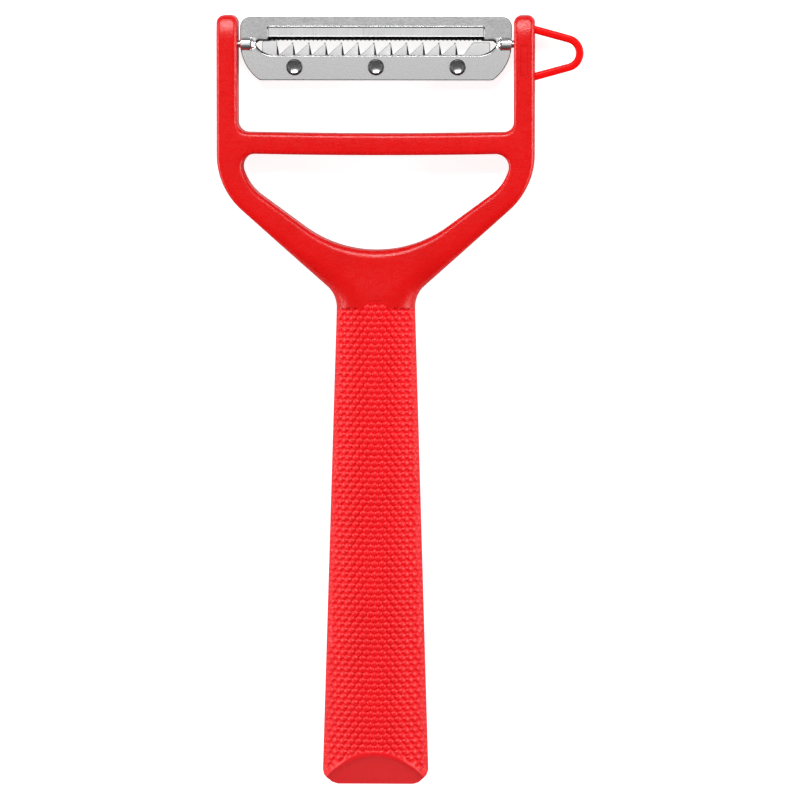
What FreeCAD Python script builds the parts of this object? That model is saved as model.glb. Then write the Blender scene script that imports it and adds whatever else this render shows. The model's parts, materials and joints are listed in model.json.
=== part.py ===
import FreeCAD, Part

import math
import os

import Sketcher

# Y-shaped swivel peeler with a julienne comb, lying on its back.
# +Y runs from the butt of the handle to the blade, +Z is the front face, and the origin is on
# the back face of the yoke's web, in the middle of its width.  Millimetres.

CELLS = [
    # yoke: two arms, a crossbar, two diagonals and a web
    ("frame_thick", 8.0), ("arm_top", 53.0), ("arm_outer", 31.9), ("arm_inner", 27.8),
    ("arm_corner", 1.5), ("bar_top", 29.5), ("bar_bottom", 25.2), ("bay_corner", 2.2),
    ("shoulder_radius", 14.8), ("shoulder_centre", 25.0), ("neck_half", 7.9),
    ("neck_radius", 5.6), ("neck_centre", -5.6), ("neck_end", -6.0), ("edge_round", 0.7),
    # lower opening under the crossbar
    ("window_corner", 2.6), ("window_radius", 10.1), ("window_centre_x", 17.1),
    ("window_bottom", 5.8), ("window_belly", 24.4),
    # blade pivots: blind sockets in the arms, stubs on the blade
    ("pivot_y", 47.2), ("pivot_z", 4.0), ("socket_radius", 0.82), ("socket_reach", 29.8),
    ("stub_radius", 0.75), ("stub_reach", 29.5), ("bead_radius", 1.2), ("bead_start", 24.3),
    ("bead_nose", 0.6), ("bead_end", 26.8), ("collar_end", 27.4),
    # handle core (prefix core) and the soft sleeve moulded over it (prefix grip)
    ("core_root", -5.0), ("butt_end", -102.0),
    ("core_neck_half", 7.3), ("core_neck_rise", 3.7), ("core_neck_side", 1.6), ("core_neck_centre", 4.3),
    ("core_butt_half", 10.15), ("core_butt_rise", 5.8), ("core_butt_side", 1.9), ("core_butt_centre", 6.4),
    ("grip_neck_half", 7.9), ("grip_neck_rise", 4.3), ("grip_neck_side", 2.2), ("grip_neck_centre", 4.3),
    ("grip_butt_half", 10.75), ("grip_butt_rise", 6.4), ("grip_butt_side", 2.5), ("grip_butt_centre", 6.4),
    ("facet_reach", 6.6), ("facet_foot", 7.0), ("butt_top", 12.8), ("butt_chamfer", 2.4),
    # eye remover: a flat loop with a tongue in the right arm and a nib in the arm's front face
    ("loop_low", 2.5), ("loop_thick", 3.0), ("loop_centre_y", 45.4), ("loop_centre_x", 38.0),
    ("loop_outer", 3.7), ("loop_inner", 2.2), ("loop_root_outer", 5.5), ("loop_root_inner", 3.95),
    ("tongue_x", 30.3), ("nib_left", 29.1), ("nib_right", 30.7), ("nib_floor", 5.2),
    ("nib_bottom", 40.9), ("nib_head", 47.1),
    # peeling blade, measured from the pivot axis
    ("plate_thick", 0.7), ("plate_half", 27.3), ("plate_top", 5.4), ("plate_corner", 1.9),
    ("guard_bottom", -7.3), ("guard_corner", 1.3), ("guard_radius", 9.2), ("guard_centre", 0.2),
    ("slot_top", 0.7), ("slot_bottom", -2.25), ("slot_shoulder", 23.5), ("slot_tip", 24.3),
    ("slot_radius", 4.6), ("ground_top", 3.4), ("bevel_top", 1.45), ("ground_half", 21.75),
    ("tooth_pitch", 0.87), ("scallop_radius", 0.5), ("scallop_drop", 0.32),
    ("ground_drop", 0.21), ("keen_drop", 0.58),
    # julienne comb behind the guard bar, measured from the pivot axis
    ("comb_thick", 0.5), ("comb_half", 22.9), ("comb_bottom", -6.5), ("comb_base", -2.6),
    ("comb_tip", 0.25), ("comb_pitch", 3.27), ("comb_first", -16.66), ("comb_run", 2.75),
    ("fin_thick", 0.35), ("fin_depth", 1.5), ("lug_head", 0.5), ("lug_inner", 19.93),
    ("wedge_left", 17.6), ("wedge_head", 0.3), ("wedge_shoulder", 19.5),
    # rivets through guard bar and comb
    ("rivet_spacing", 16.4), ("rivet_y", -4.65), ("shank_radius", 1.0), ("hole_radius", 1.02),
    ("head_radius", 1.65), ("head_rise", 0.45), ("lip_radius", 1.32), ("dish_radius", 0.99),
]

SCALLOPS = 49
COMB_TEETH = 11
RIVETS = 3


def make_sheet(doc):
    """Put every driving dimension in the sheet, one row each, with its alias."""
    sheet = doc.addObject("Spreadsheet::Sheet", "dims")
    for row, (alias, value) in enumerate(CELLS, start=1):
        sheet.set(f"A{row}", alias)
        sheet.set(f"B{row}", str(value))
        sheet.setAlias(f"B{row}", alias)
    doc.recompute()
    return sheet


doc = FreeCAD.newDocument("swivel_peeler")
dims = make_sheet(doc)


def size(alias):
    return float(dims.get(alias))


def cell(alias):
    return f"dims.{alias}"


def bind(thing, prop, expression):
    thing.setExpression(prop, expression)


def new_body(label):
    body = doc.addObject("PartDesign::Body", label)
    body.Label = label
    body.AllowCompound = True
    return body


def plane(body, role):
    return next(feature for feature in body.Origin.OriginFeatures if feature.Role == role)


def new_sketch(body, name, role, offset=None):
    """A sketch on one of the body's own origin planes, moved along its normal by an expression."""
    sketch = body.newObject("Sketcher::SketchObject", name)
    sketch.AttachmentSupport = [(plane(body, role), "")]
    sketch.MapMode = "FlatFace"
    if offset:
        bind(sketch, ".AttachmentOffset.Base.z", offset)
    return sketch


def vector(x, y):
    return FreeCAD.Vector(x, y, 0)


def circle(centre, radius):
    return Part.Circle(vector(*centre), FreeCAD.Vector(0, 0, 1), radius)


class Outline:
    """A closed chain of lines and arcs in a sketch, with its dimensions bound to the sheet."""

    def __init__(self, sketch):
        self.sketch = sketch
        self.links = []
        self.bound = 0

    def line(self, start, end):
        index = self.sketch.addGeometry(Part.LineSegment(vector(*start), vector(*end)), False)
        self.links.append((index, 1, 2))
        return index

    def arc(self, centre, radius, begin, finish):
        """An arc from one angle to the other in degrees, clockwise when finish is the smaller."""
        low, high = sorted((math.radians(begin), math.radians(finish)))
        index = self.sketch.addGeometry(Part.ArcOfCircle(circle(centre, radius), low, high), False)
        ends = (1, 2) if finish > begin else (2, 1)
        self.links.append((index, *ends))
        return index

    def polygon(self, points):
        """Straight sides through the points; returns the index of the first side."""
        sides = [self.line(a, b) for a, b in zip(points, points[1:] + points[:1])]
        self.close()
        return sides[0]

    def close(self, smooth=()):
        """Join each piece to the next: smooth holds the pieces that run tangent into their next."""
        count = len(self.links)
        for number, (index, _, last) in enumerate(self.links):
            following, first, _ = self.links[(number + 1) % count]
            kind = "Tangent" if index in smooth else "Coincident"
            self.rule(kind, index, last, following, first)
        self.links = []

    def rule(self, kind, *where):
        return self.sketch.addConstraint(Sketcher.Constraint(kind, *where))

    def measure(self, kind, where, expression, value):
        """A dimension whose value comes from an expression over the sheet."""
        index = self.sketch.addConstraint(Sketcher.Constraint(kind, *where, value))
        name = f"size_{self.bound}"
        self.bound += 1
        self.sketch.renameConstraint(index, name)
        bind(self.sketch, f"Constraints.{name}", expression)

    def hold(self, kind, where, alias):
        self.measure(kind, where, cell(alias), size(alias))

    def corner(self, index, position, x_expression, y_expression, point):
        """Tie one corner to expressions for its two coordinates."""
        if x_expression == "0":
            self.rule("PointOnObject", index, position, -2)
        else:
            self.measure("DistanceX", (index, position), x_expression, point[0])
        if y_expression == "0":
            self.rule("PointOnObject", index, position, -1)
        else:
            self.measure("DistanceY", (index, position), y_expression, point[1])

    def tied_polygon(self, corners):
        """A polygon whose corners are (x, y) pairs of (expression, value)."""
        points = [(x[1], y[1]) for x, y in corners]
        first = self.polygon(points)
        for number, (x, y) in enumerate(corners):
            self.corner(first + number, 1, x[0], y[0], points[number])


def at(alias, factor=1):
    """A coordinate taken from one cell, times a whole factor."""
    expression = cell(alias) if factor == 1 else f"{factor} * {cell(alias)}"
    return expression, factor * size(alias)


def total(first, second, factor=1):
    """A coordinate that is one cell plus a multiple of another."""
    return f"{cell(first)} + {factor} * {cell(second)}", size(first) + factor * size(second)


ZERO = ("0", 0.0)


def pad(body, name, sketch, length, side="One side", reverse=False):
    feature = body.newObject("PartDesign::Pad", name)
    feature.Profile = sketch
    feature.SideType = side
    feature.Reversed = reverse
    bind(feature, "Length", length)
    doc.recompute()
    return feature


def pocket(body, name, sketch, length, side="One side", reverse=False):
    """Cut a pocket, and check that it took something away."""
    before = body.Shape.Volume
    feature = body.newObject("PartDesign::Pocket", name)
    feature.Profile = sketch
    feature.SideType = side
    feature.Reversed = reverse
    bind(feature, "Length", length)
    doc.recompute()
    if not body.Shape.Volume < before - 1e-6:
        raise RuntimeError(f"{name} cut nothing")
    return feature


def mirror(body, name, originals):
    feature = body.newObject("PartDesign::Mirrored", name)
    feature.Originals = originals
    feature.MirrorPlane = (plane(body, "YZ_Plane"), [""])
    body.Tip = feature
    doc.recompute()
    return feature


def row(body, name, originals, spacing, count):
    """Repeat features along +X at an even spacing."""
    feature = body.newObject("PartDesign::LinearPattern", name)
    feature.Originals = originals
    feature.Direction = (plane(body, "X_Axis"), [""])
    feature.Mode = "Spacing"
    feature.Occurrences = count
    bind(feature, "Offset", spacing)
    body.Tip = feature
    doc.recompute()
    return feature


def oval(body, name, station, prefix):
    """A crowned section across the handle: two flat crown arcs joined by two tighter side arcs."""
    half, rise, side, centre = (size(f"{prefix}_{word}") for word in ("half", "rise", "side", "centre"))
    crown = ((half - side) ** 2 + rise ** 2 - side ** 2) / (2 * (rise - side))
    sketch = new_sketch(body, name, "XZ_Plane", f"-{cell(station)}")
    outline = Outline(sketch)
    turn = math.degrees(math.atan2(crown - rise, half - side))
    right = outline.arc((half - side, centre), side, -turn, turn)
    top = outline.arc((0, centre + rise - crown), crown, turn, 180 - turn)
    left = outline.arc((side - half, centre), side, 180 - turn, 180 + turn)
    bottom = outline.arc((0, centre - rise + crown), crown, 180 + turn, 360 - turn)
    outline.close(smooth=(right, top, left, bottom))
    outline.rule("Equal", right, left)
    outline.rule("Equal", top, bottom)
    outline.hold("Radius", (right,), f"{prefix}_side")
    names = {word: cell(f"{prefix}_{word}") for word in ("half", "rise", "side", "centre")}
    formula = "(({half} - {side})^2 + {rise}^2 - {side}^2) / (2 * ({rise} - {side}))".format(**names)
    outline.measure("Radius", (top,), formula, crown)
    outline.rule("PointOnObject", top, 3, -2)
    outline.measure("DistanceX", (right, 3), "{half} - {side}".format(**names), half - side)
    outline.measure("DistanceY", (right, 3), names["centre"], centre)
    outline.measure("DistanceY", (left, 3), names["centre"], centre)
    return sketch


def loft(body, kind, name, sections):
    feature = body.newObject(f"PartDesign::{kind}", name)
    feature.Profile = sections[0]
    feature.Sections = sections[1:]
    feature.Ruled = True
    doc.recompute()
    return feature


def shape_butt(body, tag):
    """Slope the butt's front and back faces and take off its two corners."""
    faces = Outline(new_sketch(body, f"{tag}_facet_lines", "YZ_Plane"))
    end = at("butt_end")
    reach = total("butt_end", "facet_reach")
    top = at("butt_top")
    faces.tied_polygon([(end, at("facet_foot")), (reach, top), (end, top)])
    back_foot = (f"{cell('butt_top')} - {cell('facet_foot')}", size("butt_top") - size("facet_foot"))
    faces.tied_polygon([(end, back_foot), (reach, ZERO), (end, ZERO)])
    pocket(body, f"{tag}_facets", faces.sketch, f"4 * {cell('grip_butt_half')}", "Symmetric")
    corners = Outline(new_sketch(body, f"{tag}_corner_lines", "XY_Plane"))
    for sign in (1, -1):
        outer = at("grip_butt_half", sign)
        inner = (f"{sign} * ({cell('grip_butt_half')} - {cell('butt_chamfer')})",
                 sign * (size("grip_butt_half") - size("butt_chamfer")))
        corners.tied_polygon([(inner, end), (outer, total("butt_end", "butt_chamfer")), (outer, end)])
    pocket(body, f"{tag}_corners", corners.sketch, f"4 * {cell('butt_top')}", "Symmetric")


def yoke_outline(body):
    """Right half of the yoke from the web's middle out to the arm."""
    outline = Outline(new_sketch(body, "yoke_lines", "XY_Plane"))
    foot = outline.line((0, -6), (7.9, -6))
    neck = outline.line((7.9, -6), (7.9, -5.6))
    throat = outline.arc((13.5, -5.6), 5.6, 180, 133)
    diagonal = outline.line((9.7, -1.5), (27.1, 14.1))
    shoulder = outline.arc((17.1, 25), 14.8, -47, 0)
    flank = outline.line((31.9, 25), (31.9, 51.5))
    outer_tip = outline.arc((30.4, 51.5), 1.5, 0, 90)
    tip = outline.line((30.4, 53), (29.3, 53))
    inner_tip = outline.arc((29.3, 51.5), 1.5, 90, 180)
    inside = outline.line((27.8, 51.5), (27.8, 31.7))
    bay = outline.arc((25.6, 31.7), 2.2, 0, -90)
    bar = outline.line((25.6, 29.5), (0, 29.5))
    middle = outline.line((0, 29.5), (0, -6))
    outline.close(smooth=(neck, throat, diagonal, shoulder, flank, outer_tip, tip, inner_tip, inside, bay))
    for level in (foot, tip, bar):
        outline.rule("Horizontal", level)
    for upright in (neck, flank, inside, middle):
        outline.rule("Vertical", upright)
    outline.rule("PointOnObject", middle, 1, -2)
    outline.hold("DistanceY", (foot, 1), "neck_end")
    outline.hold("DistanceX", (neck, 1), "neck_half")
    outline.hold("Radius", (throat,), "neck_radius")
    outline.hold("DistanceY", (throat, 3), "neck_centre")
    outline.hold("Radius", (shoulder,), "shoulder_radius")
    outline.hold("DistanceY", (shoulder, 3), "shoulder_centre")
    outline.hold("DistanceX", (flank, 1), "arm_outer")
    outline.hold("Radius", (outer_tip,), "arm_corner")
    outline.rule("Equal", outer_tip, inner_tip)
    outline.hold("DistanceY", (tip, 1), "arm_top")
    outline.hold("DistanceX", (inside, 1), "arm_inner")
    outline.hold("Radius", (bay,), "bay_corner")
    outline.hold("DistanceY", (bar, 1), "bar_top")
    return outline.sketch


def window_outline(body):
    """Right half of the opening under the crossbar."""
    outline = Outline(new_sketch(body, "window_lines", "XY_Plane"))
    head = outline.line((0, 25.2), (24.2, 25.2))
    corner = outline.arc((24.2, 22.6), 2.6, 90, -19)
    side = outline.arc((17.1, 25), 10.1, -19, -52)
    slope = outline.line((23.3, 17), (14.9, 10.8))
    belly = outline.arc((0, 30.2), 24.4, -53, -90)
    middle = outline.line((0, 5.8), (0, 25.2))
    outline.close(smooth=(head, corner, side, slope))
    outline.rule("Horizontal", head)
    outline.rule("PointOnObject", middle, 1, -2)
    outline.rule("PointOnObject", middle, 2, -2)
    outline.rule("PointOnObject", belly, 3, -2)
    outline.hold("DistanceY", (head, 1), "bar_bottom")
    outline.hold("Radius", (corner,), "window_corner")
    outline.hold("Radius", (side,), "window_radius")
    outline.hold("DistanceX", (side, 3), "window_centre_x")
    outline.hold("DistanceY", (side, 3), "shoulder_centre")
    outline.hold("Radius", (belly,), "window_belly")
    outline.hold("DistanceY", (middle, 1), "window_bottom")
    return outline.sketch


def rectangle(body, name, role, left, right, low, high, offset=None):
    """A rectangle between four (expression, value) coordinates."""
    outline = Outline(new_sketch(body, name, role, offset))
    outline.tied_polygon([(left, low), (right, low), (right, high), (left, high)])
    return outline.sketch


def tongue_limits():
    """Y limits of the eye remover's tongue, which is as tall as the loop's root."""
    return (total("loop_centre_y", "loop_root_outer", -1), total("loop_centre_y", "loop_root_outer"))


def long_edges(shape, levels):
    """Edges that lie wholly in one of the given heights."""
    names = []
    for number, edge in enumerate(shape.Edges, start=1):
        box = edge.BoundBox
        flat = box.ZLength < 1e-6
        if flat and any(abs(box.ZMin - level) < 1e-6 for level in levels):
            names.append(f"Edge{number}")
    return names


def build_yoke_frame():
    """Hard yoke and the handle core behind it, in one moulding."""
    body = new_body("yoke_frame")
    plate = pad(body, "half_yoke", yoke_outline(body), cell("frame_thick"))
    window = pocket(body, "half_window", window_outline(body), cell("frame_thick"), reverse=True)
    whole = mirror(body, "whole_yoke", [plate, window])
    soften = body.newObject("PartDesign::Fillet", "soft_edges")
    soften.Base = (whole, long_edges(whole.Shape, (0.0, size("frame_thick"))))
    bind(soften, "Radius", cell("edge_round"))
    doc.recompute()
    loft(body, "AdditiveLoft", "core", [oval(body, "core_neck", "core_root", "core_neck"),
                                        oval(body, "core_butt", "butt_end", "core_butt")])
    shape_butt(body, "core")
    outline = Outline(new_sketch(body, "socket_circle", "YZ_Plane"))
    index = outline.sketch.addGeometry(circle((size("pivot_y"), size("pivot_z")), size("socket_radius")))
    outline.hold("Radius", (index,), "socket_radius")
    outline.hold("DistanceX", (index, 3), "pivot_y")
    outline.hold("DistanceY", (index, 3), "pivot_z")
    pocket(body, "pivot_sockets", outline.sketch, f"2 * {cell('socket_reach')}", "Symmetric")
    low, high = tongue_limits()
    seat = rectangle(body, "tongue_seat_lines", "XY_Plane", at("tongue_x"), at("arm_outer"), low, high,
                     cell("loop_low"))
    pocket(body, "tongue_seat", seat, cell("loop_thick"), reverse=True)
    nib = rectangle(body, "nib_window_lines", "XY_Plane", at("nib_left"), at("nib_right"),
                    at("nib_bottom"), at("nib_head"), cell("nib_floor"))
    pocket(body, "nib_window", nib, f"{cell('frame_thick')} - {cell('nib_floor')}", reverse=True)
    return body


def build_grip_sleeve():
    """Soft sleeve moulded round the handle core."""
    body = new_body("grip_sleeve")
    loft(body, "AdditiveLoft", "skin", [oval(body, "grip_neck", "neck_end", "grip_neck"),
                                        oval(body, "grip_butt", "butt_end", "grip_butt")])
    loft(body, "SubtractiveLoft", "core_room", [oval(body, "core_neck_room", "core_root", "core_neck"),
                                                oval(body, "core_butt_room", "butt_end", "core_butt")])
    shape_butt(body, "grip")
    return body


def build_eye_remover():
    """Flat loop on the right arm, with the tongue and nib that hold it there."""
    body = new_body("eye_remover")
    centre = (size("loop_centre_x"), size("loop_centre_y"))
    outline = Outline(new_sketch(body, "loop_lines", "XY_Plane", cell("loop_low")))
    top_leg = outline.line((31.9, 50.9), (38.9, 49))
    bow = outline.arc(centre, size("loop_outer"), 75, -75)
    low_leg = outline.line((38.9, 41.8), (31.9, 39.9))
    low_root = outline.line((31.9, 39.9), (31.9, 41.45))
    low_inside = outline.line((31.9, 41.45), (38.6, 43.3))
    eye = outline.arc(centre, size("loop_inner"), -75, 75)
    top_inside = outline.line((38.6, 47.5), (31.9, 49.35))
    top_root = outline.line((31.9, 49.35), (31.9, 50.9))
    outline.close(smooth=(top_leg, bow, low_inside, eye))
    for curve, radius in ((bow, "loop_outer"), (eye, "loop_inner")):
        outline.hold("Radius", (curve,), radius)
        outline.hold("DistanceX", (curve, 3), "loop_centre_x")
        outline.hold("DistanceY", (curve, 3), "loop_centre_y")
    roots = ((low_root, 1, "loop_root_outer", -1), (low_root, 2, "loop_root_inner", -1),
             (top_root, 1, "loop_root_inner", 1), (top_root, 2, "loop_root_outer", 1))
    for line, position, root, sign in roots:
        expression, value = total("loop_centre_y", root, sign)
        outline.corner(line, position, cell("arm_outer"), expression, (size("arm_outer"), value))
    pad(body, "loop", outline.sketch, cell("loop_thick"))
    low, high = tongue_limits()
    tongue = rectangle(body, "tongue_lines", "XY_Plane", at("tongue_x"), at("arm_outer"), low, high,
                       cell("loop_low"))
    pad(body, "tongue", tongue, cell("loop_thick"))
    nib = rectangle(body, "nib_lines", "XY_Plane", at("nib_left"), at("nib_right"),
                    at("nib_bottom"), at("nib_head"), cell("nib_floor"))
    pad(body, "nib", nib, f"{cell('frame_thick')} - {cell('nib_floor')}")
    return body


def plate_outline(body):
    """Right half of the blade plate: square at the top, rounded below the pivot."""
    outline = Outline(new_sketch(body, "plate_lines", "XY_Plane"))
    guard = outline.line((0, -7.3), (22, -7.3))
    heel = outline.arc((22, -6), 1.3, -90, -45)
    curve = outline.arc((18.1, 0.2), 9.2, -50, 0)
    end = outline.line((27.3, 0.2), (27.3, 3.5))
    corner = outline.arc((25.4, 3.5), 1.9, 0, 90)
    head = outline.line((25.4, 5.4), (0, 5.4))
    middle = outline.line((0, 5.4), (0, -7.3))
    outline.close(smooth=(guard, heel, curve, end, corner))
    for level in (guard, head):
        outline.rule("Horizontal", level)
    for upright in (end, middle):
        outline.rule("Vertical", upright)
    outline.rule("PointOnObject", middle, 1, -2)
    outline.hold("DistanceY", (guard, 1), "guard_bottom")
    outline.hold("Radius", (heel,), "guard_corner")
    outline.hold("Radius", (curve,), "guard_radius")
    outline.hold("DistanceY", (curve, 3), "guard_centre")
    outline.hold("DistanceX", (end, 1), "plate_half")
    outline.hold("Radius", (corner,), "plate_corner")
    outline.hold("DistanceY", (head, 1), "plate_top")
    return outline.sketch


def slot_outline(body):
    """Right half of the slot that the peel passes through."""
    outline = Outline(new_sketch(body, "slot_lines", "XY_Plane"))
    head = outline.line((0, 0.7), (23.5, 0.7))
    shoulder = outline.line((23.5, 0.7), (24.3, 0))
    curve = outline.arc((20.2, 2.3), 4.6, -29, -90)
    floor = outline.line((20.2, -2.25), (0, -2.25))
    middle = outline.line((0, -2.25), (0, 0.7))
    outline.close(smooth=(curve,))
    outline.rule("Horizontal", head)
    outline.rule("Horizontal", floor)
    outline.rule("PointOnObject", middle, 1, -2)
    outline.rule("PointOnObject", middle, 2, -2)
    outline.rule("PointOnObject", curve, 2, -1)
    outline.hold("DistanceY", (head, 1), "slot_top")
    outline.hold("DistanceX", (head, 2), "slot_shoulder")
    outline.hold("DistanceX", (shoulder, 2), "slot_tip")
    outline.hold("Radius", (curve,), "slot_radius")
    outline.hold("DistanceY", (floor, 1), "slot_bottom")
    return outline.sketch


def revolve(body, name, sketch, axis):
    feature = body.newObject("PartDesign::Revolution", name)
    feature.Profile = sketch
    feature.ReferenceAxis = (sketch, [axis])
    feature.Angle = 360
    doc.recompute()
    return feature


def rivet_holes(body, length):
    """Three holes for the rivets' shanks."""
    outline = Outline(new_sketch(body, "rivet_hole_circles", "XY_Plane"))
    for number in range(RIVETS):
        step = number - 1
        centre = (step * size("rivet_spacing"), size("rivet_y"))
        index = outline.sketch.addGeometry(circle(centre, size("hole_radius")))
        outline.hold("Radius", (index,), "hole_radius")
        x_expression = "0" if step == 0 else f"{step} * {cell('rivet_spacing')}"
        outline.corner(index, 3, x_expression, cell("rivet_y"), centre)
    return pocket(body, "rivet_holes", outline.sketch, length, "Symmetric")


def build_peeling_blade():
    """Stamped plate with a ground, serrated slot edge, and a bead and pivot stub at each end."""
    body = new_body("peeling_blade")
    plate = pad(body, "half_plate", plate_outline(body), cell("plate_thick"), "Symmetric")
    slot = pocket(body, "half_slot", slot_outline(body), f"2 * {cell('plate_thick')}", "Symmetric")
    profile = Outline(new_sketch(body, "stub_lines", "XY_Plane"))
    profile.tied_polygon([(at("bead_start"), ZERO), (total("bead_start", "bead_nose"), at("bead_radius")),
                          (at("bead_end"), at("bead_radius")), (at("collar_end"), at("stub_radius")),
                          (at("stub_reach"), at("stub_radius")), (at("stub_reach"), ZERO)])
    stub = revolve(body, "stub", profile.sketch, "H_Axis")
    mirror(body, "whole_plate", [plate, slot, stub])
    rivet_holes(body, f"4 * {cell('plate_thick')}")
    bevel = Outline(new_sketch(body, "bevel_lines", "YZ_Plane"))
    face = ("dims.plate_thick / 2", size("plate_thick") / 2)
    above = ("2 * dims.plate_thick", 2 * size("plate_thick"))
    ground = ("dims.plate_thick / 2 - dims.ground_drop", size("plate_thick") / 2 - size("ground_drop"))
    keen = ("dims.plate_thick / 2 - dims.keen_drop", size("plate_thick") / 2 - size("keen_drop"))
    bevel.tied_polygon([(at("ground_top"), face), (at("bevel_top"), ground), (at("slot_top"), keen),
                        (ZERO, keen), (ZERO, above), (at("ground_top"), above)])
    pocket(body, "ground_edge", bevel.sketch, f"2 * {cell('ground_half')}", "Symmetric")
    scallop = Outline(new_sketch(body, "scallop_circle", "XY_Plane"))
    half_row = (SCALLOPS - 1) // 2
    centre = (-half_row * size("tooth_pitch"), size("slot_top") - size("scallop_drop"))
    index = scallop.sketch.addGeometry(circle(centre, size("scallop_radius")))
    scallop.hold("Radius", (index,), "scallop_radius")
    scallop.corner(index, 3, f"-{half_row} * {cell('tooth_pitch')}",
                   f"{cell('slot_top')} - {cell('scallop_drop')}", centre)
    notch = pocket(body, "scallop", scallop.sketch, f"2 * {cell('plate_thick')}", "Symmetric")
    row(body, "serration", [notch], cell("tooth_pitch"), SCALLOPS)
    return body


def build_julienne_blade():
    """Comb behind the guard bar: pointed teeth, each with a fin turned back at its upright edge."""
    body = new_body("julienne_blade")
    behind = "-dims.plate_thick / 2"
    backing = Outline(new_sketch(body, "comb_lines", "XY_Plane", behind))
    left, right = at("comb_half", -1), at("comb_half")
    backing.tied_polygon([
        (left, at("comb_bottom")), (right, at("comb_bottom")), (right, at("wedge_head")),
        (at("wedge_shoulder"), at("wedge_head")), (at("wedge_left"), at("slot_bottom")),
        (at("wedge_left"), at("comb_base")), (at("lug_inner", -1), at("comb_base")),
        (at("lug_inner", -1), at("lug_head")), (left, at("lug_head"))])
    pad(body, "comb_back", backing.sketch, cell("comb_thick"), reverse=True)
    tooth = Outline(new_sketch(body, "tooth_lines", "XY_Plane", behind))
    heel = total("comb_first", "comb_run", -1)
    tooth.tied_polygon([(heel, at("comb_base")), (at("comb_first"), at("comb_base")),
                        (at("comb_first"), at("comb_tip")), (heel, at("slot_bottom"))])
    first = pad(body, "tooth", tooth.sketch, cell("comb_thick"), reverse=True)
    row(body, "teeth", [first], cell("comb_pitch"), COMB_TEETH)
    fin = Outline(new_sketch(body, "fin_lines", "YZ_Plane", f"{cell('comb_first')} - {cell('comb_pitch')}"))
    back = ("-dims.plate_thick / 2 - dims.fin_depth", -size("plate_thick") / 2 - size("fin_depth"))
    face = ("-dims.plate_thick / 2", -size("plate_thick") / 2)
    fin.tied_polygon([(at("comb_base"), face), (at("comb_base"), back), (at("slot_bottom"), back),
                      (at("comb_tip"), face)])
    blade = pad(body, "fin", fin.sketch, cell("fin_thick"))
    row(body, "fins", [blade], cell("comb_pitch"), COMB_TEETH + 1)
    rivet_holes(body, f"8 * {cell('plate_thick')}")
    return body


def build_blade_rivets():
    """Three rivets with dished front heads, centred on the first one's axis."""
    body = new_body("blade_rivets")
    face = ("dims.plate_thick / 2", size("plate_thick") / 2)
    rim = ("dims.plate_thick / 2 + dims.head_rise", size("plate_thick") / 2 + size("head_rise"))
    rear = ("-dims.plate_thick / 2 - dims.comb_thick", -size("plate_thick") / 2 - size("comb_thick"))
    tail = ("-dims.plate_thick / 2 - dims.comb_thick - dims.head_rise",
            -size("plate_thick") / 2 - size("comb_thick") - size("head_rise"))
    section = Outline(new_sketch(body, "rivet_lines", "XZ_Plane"))
    section.tied_polygon([
        (ZERO, face), (at("dish_radius"), face), (at("lip_radius"), rim), (at("head_radius"), rim),
        (at("head_radius"), face),
        (at("shank_radius"), face), (at("shank_radius"), rear), (at("head_radius"), rear),
        (at("dish_radius"), tail), (ZERO, tail)])
    rivet = revolve(body, "rivet", section.sketch, "V_Axis")
    row(body, "rivet_row", [rivet], cell("rivet_spacing"), RIVETS)
    return body


def check(document, bodies):
    """Stop if any object failed or any sub-part's shape isn't a valid solid."""
    for thing in document.Objects:
        if "Invalid" in thing.State or "Error" in thing.State:
            raise RuntimeError(f"{thing.Label} is {thing.State}")
    for body in bodies:
        if body.Shape.isNull() or not body.Shape.isValid():
            raise RuntimeError(f"{body.Label} has no valid shape")


handle_parts = [build_yoke_frame(), build_grip_sleeve(), build_eye_remover()]
blade_parts = [build_peeling_blade(), build_julienne_blade(), build_blade_rivets()]

for part in blade_parts:
    bind(part, ".Placement.Base.y", cell("pivot_y"))
    bind(part, ".Placement.Base.z", cell("pivot_z"))
bind(blade_parts[-1], ".Placement.Base.x", f"-{cell('rivet_spacing')}")
bind(blade_parts[-1], ".Placement.Base.y", f"{cell('pivot_y')} + {cell('rivet_y')}")

doc.recompute()
sub_parts = handle_parts + blade_parts
check(doc, sub_parts)

os.makedirs("parts", exist_ok=True)
for part in sub_parts:
    part.Shape.exportStep(f"parts/{part.Label}.step")
    solids = len(part.Shape.Solids)
    print(part.Label, solids, "solids", round(part.Shape.Volume, 1), "mm3", part.Shape.BoundBox)
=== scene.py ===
import json
import math

import bmesh
import bpy
import numpy as np
from mathutils import Matrix, Vector, geometry


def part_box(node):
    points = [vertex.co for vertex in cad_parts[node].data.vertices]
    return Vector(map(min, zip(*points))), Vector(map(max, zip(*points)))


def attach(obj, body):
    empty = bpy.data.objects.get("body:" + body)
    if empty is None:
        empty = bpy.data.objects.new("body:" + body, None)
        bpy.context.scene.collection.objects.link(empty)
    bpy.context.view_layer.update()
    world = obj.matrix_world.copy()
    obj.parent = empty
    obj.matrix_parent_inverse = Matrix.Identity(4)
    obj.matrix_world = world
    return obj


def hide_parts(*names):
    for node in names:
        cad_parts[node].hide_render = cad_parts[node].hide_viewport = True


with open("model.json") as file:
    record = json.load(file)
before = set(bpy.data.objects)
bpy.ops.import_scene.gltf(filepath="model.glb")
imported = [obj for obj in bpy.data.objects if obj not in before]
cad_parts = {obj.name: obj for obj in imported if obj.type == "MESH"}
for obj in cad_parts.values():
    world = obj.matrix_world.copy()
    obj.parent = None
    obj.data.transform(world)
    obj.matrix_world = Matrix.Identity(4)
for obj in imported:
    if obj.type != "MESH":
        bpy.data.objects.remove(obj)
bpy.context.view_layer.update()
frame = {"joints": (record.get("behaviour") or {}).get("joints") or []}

# Everything below is in millimetres in the part's own frame, and becomes metres when a mesh is made.
MM = 0.001


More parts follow.
